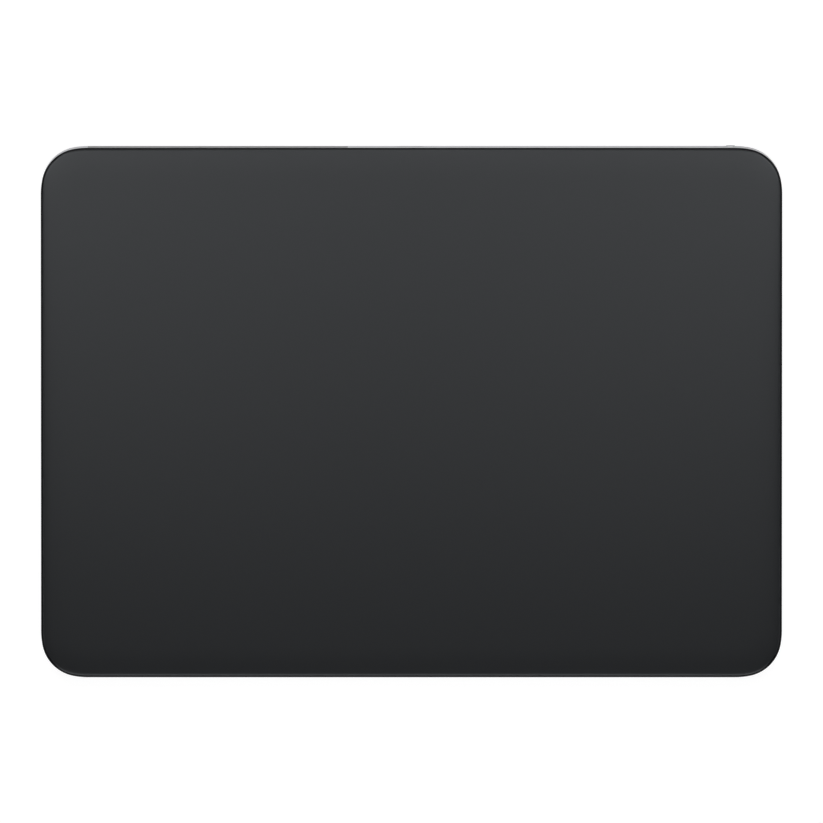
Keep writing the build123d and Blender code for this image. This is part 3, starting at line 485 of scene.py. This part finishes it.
# %% [markdown]
# ## The tray and its antenna window
# The tray is the body of the trackpad. Metal stops radio waves, so a stretch of its rear wall is
# a plastic window for the antenna, finished flush. One mesh with two materials could show both,
# but they are two parts on the real thing and stay two here. They share one surface, so both
# take the skin's normals, and no seam shows in the light along the wall. The skin is then
# thrown away.

# %% Copy the tray and the window
tray = smoothed_copy("bottom_case", "tray", "case", "aluminium")
window = smoothed_copy("antenna_window", "window_strip", "case", "window")
lend_normals(skin, tray)
lend_normals(skin, window)
only(skin)
bpy.ops.object.delete()

# %% [markdown]
# ## The power switch and the port
# The switch has a small metal knob that slides in a slot. The charging port has a thin tongue
# inside a rounded metal shell. They are a few millimetres wide, but they are the only details
# of the rear wall, so the eye goes there. They could be drawn again with bevels, but their
# solids already have the right shape, and a smoothed copy is enough.

# %% Copy the knob, the tongue and the shell of the port
smoothed_copy("switch_knob", "slide_knob", "power_slider", "knob")
smoothed_copy("port_housing", "port_tongue", "case", "black_plastic")
smoothed_copy("port_shell", "port_can", "case", "steel")

# %% [markdown]
# ## The beams that feel the press
# The surface stands on four spring-steel beams. A press bends each in its neck: the root stays
# screwed to the case, and the tip goes down with the surface. The neck is cut across in a few
# places, since a mesh can only bend where it has points.

# %% Cut a neck
NECK_ROOT = 67.0 * MM
NECK_TIP = 59.0 * MM
NECK_CUTS = 6


def bend_neck(piece, side):
    step = (NECK_ROOT - NECK_TIP) / NECK_CUTS
    edit(piece)
    for i in range(NECK_CUTS + 1):
        bpy.ops.mesh.select_all(action="SELECT")
        across = (side * (NECK_TIP + step * i), 0, 0)
        bpy.ops.mesh.bisect(plane_co=across, plane_no=(1, 0, 0))
    bpy.ops.object.mode_set(mode="OBJECT")
    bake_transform(piece)


# %% [markdown]
# ## The gauges on the beams
# A thin foil gauge is glued on each neck and measures how far it bends, so it has to bend too.
# The CAD model holds all four in one node, but the left necks bend the opposite way to the right
# ones, and one blend has one direction. So the node is copied for each side, and each copy
# keeps its own half. Each side gets its two beams first, and then its gauges.


# %% Make the beams and the gauges of each side
def keep_side(piece, side):
    edit(piece)
    away = pick(piece, "FACE", lambda face: face.calc_center_median().x * side < 0)
    bpy.ops.mesh.delete(type="FACE")
    bpy.ops.object.mode_set(mode="OBJECT")
    print(piece.name, "keeps", len(piece.data.polygons), "faces and loses", away)


for side, hand in ((-1, "left"), (1, "right")):
    for row in ("front", "rear"):
        node = f"force_beam_{row}_{hand}"
        bend_neck(smoothed_copy(node, f"beam_{row}_{hand}", None, "steel"), side)
    gauges = smoothed_copy("strain_gauges", f"gauges_{hand}", None, "foil")
    keep_side(gauges, side)
    bend_neck(gauges, side)

# %% [markdown]
# ## The flat cable and the gel pads
# A flat cable joins the logic board, which is fixed, to the touch board, which goes down with the
# surface. It gives way over its height. The surface lies on four gel pads, which let the haptic
# actuator pull it along: their lower faces stay, and their upper faces go with the surface.
# Shape keys could move both, but they know nothing of the joints. Here both are copied, and
# their place is baked into their meshes.

# %% Copy the cable and the pads
cable = smoothed_copy("touch_flex", "bending_flex", None, "foil")
low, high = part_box("touch_flex")
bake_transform(cable)

pads = smoothed_copy("gel_pads", "soft_pads", None, "gel")
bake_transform(pads)

# %% [markdown]
# ## Rubber feet
# Each foot is a moulded disc, glued into a shallow round recess. Its lower face has a soft rim and
# a fine ring groove from the mould. A cylinder with a bevel would have no groove, so the foot is
# raised ring by ring from a circle, standing on its head: first the quarter round of the rim,
# then the groove and a slight dish.

# %% Mould one foot
FOOT_RADIUS = 4.95 * MM
FOOT_SIDES = 72
FOOT_HEIGHT = 1.0 * MM
FOOT_ROUND = 0.25 * MM
ROUND_ANGLES = (18, 36, 54, 72, 90)
FACE_RINGS = ((0.7, 0), (0.1, -0.08), (0.3, 0), (0.1, 0.08), (0.4, 0), (0.8, -0.02))

clear_selection()
bpy.ops.mesh.primitive_circle_add(vertices=FOOT_SIDES, radius=FOOT_RADIUS, fill_type="NGON")
mould = bpy.context.object
edit(mould)
bpy.ops.mesh.select_mode(type="FACE")
bpy.ops.mesh.select_all(action="SELECT")
side_height = FOOT_HEIGHT - FOOT_ROUND
bpy.ops.mesh.extrude_region_move(TRANSFORM_OT_translate={"value": (0, 0, side_height)})
near = (0.0, 0.0)
for angle in ROUND_ANGLES:
    turn = math.radians(angle)
    far = (FOOT_ROUND * (1 - math.cos(turn)), FOOT_ROUND * math.sin(turn))
    step_in(far[0] - near[0], far[1] - near[1])
    near = far
for width, rise in FACE_RINGS:
    step_in(width * MM, rise * MM)
bpy.ops.mesh.select_all(action="SELECT")
bpy.ops.mesh.normals_make_consistent(inside=False)
bpy.ops.object.mode_set(mode="OBJECT")
smooth(mould, SOFT_CREASE)
print("one foot of", len(mould.data.polygons), "faces")

# %% [markdown]
# ## Four from one mould
# All four feet come from the same mould. Linked duplicates would share one mesh, but then none
# could have its place in its mesh. So each copy gets a mesh of its own, is turned over, and
# settles in the middle of its recess. The mould is thrown away.

# %% Set the four feet
for name in ("foot_front_left", "foot_front_right", "foot_rear_left", "foot_rear_right"):
    low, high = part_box(name)
    foot = mould.copy()
    foot.data = mould.data.copy()
    bpy.context.scene.collection.objects.link(foot)
    middle = Matrix.Translation(((low.x + high.x) / 2, (low.y + high.y) / 2, FOOT_HEIGHT))
    turned = middle @ Matrix.Rotation(math.pi, 4, "X")
    settle(foot, "rubber_" + name, "case", "rubber", name, place=turned)
only(mould)
bpy.ops.object.delete()

# %% [markdown]
# ## Camera
# The photograph looks straight down on the trackpad from far away: its sides run parallel, and
# only a thin strip of the rear wall shows, because that wall stands square to the sloping deck.
# An orthographic camera would do the same, but a long lens is what a photographer uses. It
# looks down a hair from the rear, so that the strip keeps its width.

# %% The camera of the photograph
FRAME_WIDTH = 177.63 * MM
LENS = 1200.0
SENSOR = 36.0
LEAN = math.radians(0.40)
AIM_BACK = 0.055 * MM

distance = FRAME_WIDTH * LENS / SENSOR
aim = Vector((0, AIM_BACK, DECK_HEIGHT))
eye = aim + distance * Vector((0, math.sin(LEAN), math.cos(LEAN)))
bpy.ops.object.camera_add(location=eye, rotation=(-LEAN, 0, 0))
camera = bpy.context.object
camera.name = "camera"
camera.data.lens = LENS
camera.data.sensor_width = SENSOR
bpy.context.scene.camera = camera
bpy.context.scene.view_settings.view_transform = "Standard"
print("camera", round(distance, 2), "m away")

# %% [markdown]
# ## Studio light
# In the photograph the glass changes gently from grey at the rear to nearly black at the front,
# while its edges carry thin bright lines. One large light can't do both. Small soft boxes hang
# close above the rear, and near lights fall off across the glass. Long cards further out are
# mirrored only in the ground edges. A wide bounce from below lights the underside. Each takes a
# place and a size in metres, and a power in watts.


# %% Soft boxes and cards
def soft_box(name, place, size, power):
    bpy.ops.object.light_add(type="AREA", location=place)
    lamp = bpy.context.object
    lamp.name = name
    lamp.data.shape = "RECTANGLE"
    lamp.data.size, lamp.data.size_y = size
    lamp.data.energy = power
    lamp.rotation_euler = (Vector((0, 0, 0)) - Vector(place)).to_track_quat("-Z", "Y").to_euler()
    lamp.visible_camera = False
    print(name, power, "W")


for side in (-1, 1):
    soft_box("rear_corner_box", (side * 0.12, 0.08, 0.21), (0.10, 0.10), 0.080)
    soft_box("middle_box", (side * 0.07, 0.0, 0.30), (0.12, 0.12), 0.063)
    soft_box("side_card", (side * 0.38, 0.0, 0.50), (0.50, 0.06), 0.157)
soft_box("rear_box", (0.0, 0.10, 0.22), (0.12, 0.12), 0.065)
soft_box("rear_card", (0.0, 0.30, 0.40), (0.50, 0.08), 0.115)
soft_box("front_card", (0.0, -0.42, 0.50), (0.60, 0.12), 0.64)
soft_box("floor_bounce", (0.0, 0.0, -0.50), (0.8, 0.8), 1.6)

# %% [markdown]
# ## Building node trees
# The room, the floor and all finishes are node trees. In the editor they are drawn by hand, node
# by node, with numbers typed into the sockets. In code that would take a line for each number.
# So one helper clears a tree, and another adds a node and fills in its sockets by name.


# %% Start a tree and add nodes
def empty_tree(owner):
    owner.use_nodes = True
    owner.node_tree.nodes.clear()
    return owner.node_tree


def add(tree, kind, **values):
    """A new shader node. Values name its sockets, with _ for a blank."""
    node = tree.nodes.new("ShaderNode" + kind)
    for name, value in values.items():
        node.inputs[name.replace("_", " ")].default_value = value
    return node


# %% [markdown]
# ## Sums and choices
# A brightness or a roughness is often the outcome of a small sum. In the editor these are Math,
# Map Range and Mix Shader nodes. Each helper adds one of them, wires up what comes in, and gives
# back the socket that goes out, so that a chain of nodes reads like a formula.


# %% Wire sums and choices
def reckon(tree, operation, *terms):
    """A math node. Its terms are sockets or plain numbers."""
    node = add(tree, "Math")
    node.operation = operation
    for place, term in zip(node.inputs, terms):
        if isinstance(term, float):
            place.default_value = term
        else:
            tree.links.new(term, place)
    return node.outputs[0]


def rescale(tree, value, low, high, to_low=0.0, to_high=1.0):
    node = add(tree, "MapRange", From_Min=low, From_Max=high, To_Min=to_low, To_Max=to_high)
    tree.links.new(value, node.inputs["Value"])
    return node.outputs["Result"]


def choose(tree, share, first, second):
    """Shows the second shader by the share given, and else the first."""
    node = add(tree, "MixShader")
    tree.links.new(share, node.inputs[0])
    tree.links.new(first, node.inputs[1])
    tree.links.new(second, node.inputs[2])
    return node.outputs[0]


# %% [markdown]
# ## The white room
# Behind the trackpad everything is pure white. A world that lit the scene that brightly would
# wash out the black glass. The Light Path node tells what a ray is looking for, so only some
# rays find the room white: camera rays, and mirrored rays that run out near the horizon.
# Overhead the room is dark, as a studio is above its lamps.

# %% Build the room
WHITE = (1, 1, 1, 1)
FILL = 0.03
HORIZON_START = 0.02
HORIZON_END = 0.30

room = bpy.data.worlds.new("white_room")
bpy.context.scene.world = room
air = empty_tree(room)
ray = add(air, "LightPath").outputs
seen = add(air, "Background", Color=WHITE, Strength=1.0)
fill = add(air, "Background", Color=WHITE, Strength=FILL)
towards = add(air, "SeparateXYZ")
air.links.new(add(air, "TexCoord").outputs["Generated"], towards.inputs[0])
horizon = rescale(air, towards.outputs["Z"], HORIZON_START, HORIZON_END, 1.0, 0.0)
mirrored = reckon(air, "MAXIMUM", ray["Is Glossy Ray"], ray["Is Transmission Ray"])
backdrop = reckon(air, "MINIMUM", mirrored, horizon)
white = reckon(air, "MAXIMUM", ray["Is Camera Ray"], backdrop)
sky = choose(air, white, fill.outputs[0], seen.outputs[0])
air.links.new(sky, add(air, "OutputWorld").inputs["Surface"])
dark_from = round(math.degrees(math.asin(HORIZON_END)), 1)
print("mirrored rays find the room dark above", dark_from, "degrees")

# %% [markdown]
# ## The floor
# The trackpad lies on white paper. A plain white plane would either turn grey or light the glass
# from all sides. So a camera or mirrored ray sees it glowing near white, with the soft shadow
# still on it, and all other rays see plain matte paper. From below the floor is clear, so that
# the underside can be looked at.

# %% Lay the floor
FLOOR_SIZE = 6.0
PAPER = (0.8, 0.8, 0.8, 1)
UNDER_THE_GLOW = (0.3, 0.3, 0.3, 1)
GLOW = 0.88

bpy.ops.mesh.primitive_plane_add(size=FLOOR_SIZE, location=(0, 0, 0))
floor = bpy.context.object
floor.name = "floor"
floor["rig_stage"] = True
paper = bpy.data.materials.new("white_floor")
sheet = empty_tree(paper)
ray = add(sheet, "LightPath").outputs
plain = add(sheet, "BsdfDiffuse", Color=PAPER)
shaded = add(sheet, "BsdfDiffuse", Color=UNDER_THE_GLOW)
glow = add(sheet, "Emission", Color=WHITE, Strength=GLOW)
glowing = add(sheet, "AddShader")
sheet.links.new(shaded.outputs[0], glowing.inputs[0])
sheet.links.new(glow.outputs[0], glowing.inputs[1])
looked_at = reckon(sheet, "MAXIMUM", ray["Is Camera Ray"], ray["Is Glossy Ray"])
upper = choose(sheet, looked_at, plain.outputs[0], glowing.outputs[0])
back = add(sheet, "NewGeometry").outputs["Backfacing"]
clear_side = reckon(sheet, "MAXIMUM", back, ray["Is Shadow Ray"])
surface = choose(sheet, clear_side, upper, add(sheet, "BsdfTransparent").outputs[0])
sheet.links.new(surface, add(sheet, "OutputMaterial").inputs["Surface"])
floor.data.materials.append(paper)
print("floor of", floor.dimensions.x, "m")

# %% [markdown]
# ## Grain and patches
# No real surface has one flat colour. Anodised metal, etched glass, moulded plastic and woven
# board all vary a little, at two scales: a fine grain, and broad patches from handling and
# moulding. Images would do, but noise on Object coordinates needs no unwrapping, and stays sharp
# in every close look.

# %% Mix a fine and a broad noise
FINE_SHARE = 0.6
BROAD_SHARE = 0.4


def mottle(tree, grain, patch):
    """The fine noise alone, and the fine noise mixed with the broad one."""
    where = add(tree, "TexCoord").outputs["Object"]
    fine = add(tree, "TexNoise", Scale=grain, Detail=2.0)
    broad = add(tree, "TexNoise", Scale=patch, Detail=3.0)
    tree.links.new(where, fine.inputs["Vector"])
    tree.links.new(where, broad.inputs["Vector"])
    patches = reckon(tree, "MULTIPLY", broad.outputs["Fac"], BROAD_SHARE)
    mixture = reckon(tree, "MULTIPLY_ADD", fine.outputs["Fac"], FINE_SHARE, patches)
    return fine.outputs["Fac"], mixture


# %% [markdown]
# ## What every finish shares
# All nineteen finishes are built the same way, so one helper does it, and a finish is told apart
# by its colour, its roughness and how coarse it is. The mixture of both noises drives colour and
# roughness, since a spot that is handled looks different in both. The fine noise alone gives a
# slight bump, because broad patches have no height.

# %% A finish with grain
NOISE_LOW = 0.3
NOISE_HIGH = 0.7
GLOSS_SWING = 0.1
BUMP_HEIGHT = 0.02 * MM


def finish(name, colour, roughness, metallic=0.0, grain=4000.0, depth=0.3, spread=0.08, patch=90.0):
    made = bpy.data.materials.new(name)
    made.use_nodes = True
    tree = made.node_tree
    wire = tree.links.new
    shader = tree.nodes["Principled BSDF"]
    shader.inputs["Metallic"].default_value = metallic
    fine, mixture = mottle(tree, grain, patch)
    tint = add(tree, "ValToRGB")
    dark, light = tint.color_ramp.elements
    dark.position, light.position = NOISE_LOW, NOISE_HIGH
    dark.color = [c * (1 - spread) for c in colour] + [1]
    light.color = [min(1, c * (1 + spread)) for c in colour] + [1]
    wire(mixture, tint.inputs["Fac"])
    wire(tint.outputs["Color"], shader.inputs["Base Color"])
    glossy, dull = roughness * (1 - GLOSS_SWING), min(1.0, roughness * (1 + GLOSS_SWING))
    wire(rescale(tree, mixture, NOISE_LOW, NOISE_HIGH, glossy, dull), shader.inputs["Roughness"])
    relief = add(tree, "Bump", Strength=depth, Distance=BUMP_HEIGHT)
    wire(fine, relief.inputs["Height"])
    wire(relief.outputs["Normal"], shader.inputs["Normal"])
    print(name, "roughness", roughness)
    return made


# %% [markdown]
# ## Blasted aluminium
# The tray is blasted with fine beads and anodised, which leaves a soft, even sheen with hardly
# any grain. At a glancing angle a plain metal shader turns white, and the oxide layer on the
# real tray doesn't. A darker base colour would dim the whole tray, so only the light that
# glances off is toned down, with the shader's specular tint.


# %% Finish the tray
def tint_mirror(made, colour):
    """Colours the mirrored light: all of it on glass, and what glances off on metal."""
    made.node_tree.nodes["Principled BSDF"].inputs["Specular Tint"].default_value = colour + (1,)


finishes = {}
finishes["aluminium"] = finish(
    "blasted_aluminium", (0.55, 0.547, 0.562), 0.38, metallic=1.0, grain=7000, depth=0.25, spread=0.03
)
tint_mirror(finishes["aluminium"], (0.6, 0.6, 0.62))

# %% [markdown]
# ## Window, knob, feet and mark
# The antenna window is plastic, painted to match the metal as far as paint can, so it has the
# metal's grey without its shine. The knob is bare metal, a little brighter than the tray. The
# feet are dark rubber, rough enough to grip. The patch beside the knob is a flat green paint,
# which shows when the power is on.

# %% Finish the small outer pieces
finishes["window"] = finish(
    "window_plastic", (0.185, 0.181, 0.190), 0.5, grain=5000, depth=0.2, spread=0.04
)
finishes["knob"] = finish(
    "knob_metal", (0.60, 0.61, 0.62), 0.35, metallic=1.0, grain=6000, depth=0.2, spread=0.04
)
finishes["rubber"] = finish("foot_rubber", (0.12, 0.121, 0.123), 0.7, grain=5000, depth=0.5)
finishes["green"] = finish("green_patch", (0.05, 0.5, 0.12), 0.5, grain=3000, depth=0.15)

# %% [markdown]
# ## Etched black glass
# The glass is printed black on its back and etched on its face, so that a finger glides. The
# etched face is matte, and the ground edge is polished. Two materials would show a hard line
# where they meet. One material with a roughness that follows the tilt of the surface turns
# smoothly from the one to the other.

# %% Finish the glass
MATTE = 0.38
POLISHED = 0.12
MATTE_UP_TO = math.radians(5)
POLISHED_FROM = math.radians(22)

finishes["black_glass"] = finish(
    "etched_black_glass", (0.0056, 0.0062, 0.0074), MATTE, grain=9000, depth=0.08, spread=0.03, patch=40
)
tint_mirror(finishes["black_glass"], (0.93, 0.965, 1.0))
tree = finishes["black_glass"].node_tree
lean = add(tree, "VectorMath")
lean.operation = "DOT_PRODUCT"
lean.inputs[1].default_value = slope
tree.links.new(add(tree, "TexCoord").outputs["Normal"], lean.inputs[0])
steep, gentle = math.cos(POLISHED_FROM), math.cos(MATTE_UP_TO)
gloss = rescale(tree, lean.outputs["Value"], steep, gentle, POLISHED, MATTE)
tree.links.new(gloss, tree.nodes["Principled BSDF"].inputs["Roughness"])
print("polished where the glass leans more than", round(math.degrees(POLISHED_FROM)), "degrees")

# %% [markdown]
# ## Lines on boards, cables and coils
# A circuit board shows its conductor runs through green lacquer, a flat cable shows copper tracks
# through amber film, and a coil shows its turns. As geometry these lines would cost millions
# of faces, at a depth that nobody sees. A brick or wave texture lays a second colour over the
# finish instead.


# %% A finish with lines
def draw_lines(made, kind, colour, scale, share):
    tree = made.node_tree
    wire = tree.links.new
    base_colour = tree.nodes["Principled BSDF"].inputs["Base Color"]
    base = base_colour.links[0].from_socket
    lines = add(tree, kind, Scale=scale)
    wire(add(tree, "TexCoord").outputs["Object"], lines.inputs["Vector"])
    over = add(tree, "Mix")
    over.data_type = "RGBA"
    over.inputs["B"].default_value = colour + (1,)
    wire(rescale(tree, lines.outputs["Fac"], 1 - share, 1.0), over.inputs["Factor"])
    wire(base, over.inputs["A"])
    wire(over.outputs["Result"], base_colour)


finishes["board"] = finish("green_board", (0.012, 0.07, 0.035), 0.45, grain=2500, spread=0.2)
draw_lines(finishes["board"], "TexBrick", (0.05, 0.2, 0.08), 420.0, 0.9)
finishes["foil"] = finish("amber_flex", (0.42, 0.16, 0.02), 0.3, grain=1500, depth=0.1, spread=0.12)
draw_lines(finishes["foil"], "TexWave", (0.62, 0.3, 0.08), 420.0, 0.45)
finishes["copper"] = finish(
    "enamelled_copper", (0.72, 0.28, 0.12), 0.3, metallic=1.0, grain=2500, depth=0.4, spread=0.15
)
draw_lines(finishes["copper"], "TexWave", (0.25, 0.08, 0.03), 900.0, 0.5)

# %% [markdown]
# ## Metals inside
# The beams, the shield and the shells are rolled sheet steel with a dull sheen. The screws are
# plated and brighter. The contacts of the port and the antenna's trace are plated with gold,
# because it doesn't tarnish. One metal for all would be quicker, but then nothing would tell
# a screw from the sheet that it holds.

# %% Finish the inner metals
finishes["steel"] = finish(
    "rolled_steel", (0.52, 0.51, 0.5), 0.35, metallic=1.0, grain=3000, depth=0.2, spread=0.06
)
finishes["screw"] = finish(
    "zinc_screw", (0.6, 0.6, 0.62), 0.28, metallic=1.0, grain=4000, depth=0.15, spread=0.06
)
finishes["gold"] = finish(
    "gold_plating", (0.85, 0.6, 0.22), 0.25, metallic=1.0, grain=5000, depth=0.1, spread=0.05
)

# %% [markdown]
# ## Black plastics
# Chips are moulded in dull black resin, connectors in a finer black plastic, and the antenna's
# cable has a smooth jacket. None is pure black: no real surface is, and a black of zero would
# hide all form between the highlights. What tells them apart is their roughness and grain.

# %% Finish the black plastics
finishes["chip"] = finish(
    "moulded_chip", (0.018, 0.018, 0.02), 0.6, grain=6000, depth=0.4, spread=0.15
)
finishes["black_plastic"] = finish(
    "black_plastic", (0.016, 0.016, 0.017), 0.45, grain=4500, spread=0.15
)
finishes["cable"] = finish("cable_jacket", (0.02, 0.02, 0.022), 0.5, grain=3500, spread=0.15)

# %% [markdown]
# ## Battery, films and gel
# The battery is a pouch of laminated foil. Its metal shines through a plastic skin, so it is
# only partly metallic, and its wrinkles are a coarse, deep grain. The bonding film, the pull
# tapes and the gel are pale and soft. Real gel lets light through, but it lies hidden between
# two plates, so a glossy surface does.

# %% Finish the soft inner pieces
finishes["pouch"] = finish(
    "pouch_foil", (0.55, 0.56, 0.57), 0.4, metallic=0.6, grain=600, depth=0.5, spread=0.06
)
finishes["tape"] = finish("stretch_tape", (0.8, 0.8, 0.78), 0.5, grain=900, depth=0.2, spread=0.06)
finishes["adhesive"] = finish("bonding_film", (0.72, 0.66, 0.5), 0.35, grain=900, depth=0.2)
finishes["gel"] = finish("soft_gel", (0.55, 0.58, 0.62), 0.25, grain=700, depth=0.1, spread=0.06)

# %% [markdown]
# ## Giving every piece its finish
# The record says which slot each solid belongs to, and the new pieces carry their slot with
# them. Finishes could be assigned piece by piece, but they are looked up by their slot, so that
# repainting the whole trackpad later means changing one entry.

# %% Assign the finishes
slots = {part["node"]: part["material_slot"] for part in frame["record"]["subparts"]}
wanted = [(item, slots[node]) for node, item in frame["nodes"].items()]
wanted += [(o, o["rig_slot"]) for o in bpy.data.objects if "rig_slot" in o and o.type == "MESH"]
for item, slot in wanted:
    item.data.materials.clear()
    item.data.materials.append(finishes[slot])
print(len(wanted), "pieces finished with", len(finishes), "materials")

# %% [markdown]
# ## The dressed size
# The dressed trackpad must keep the size of the CAD model, since other parts are fitted to that.

# %% Measure the dressed trackpad
low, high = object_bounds()
print("dressed box, mm:", [round(v * 1000, 2) for v in high - low])
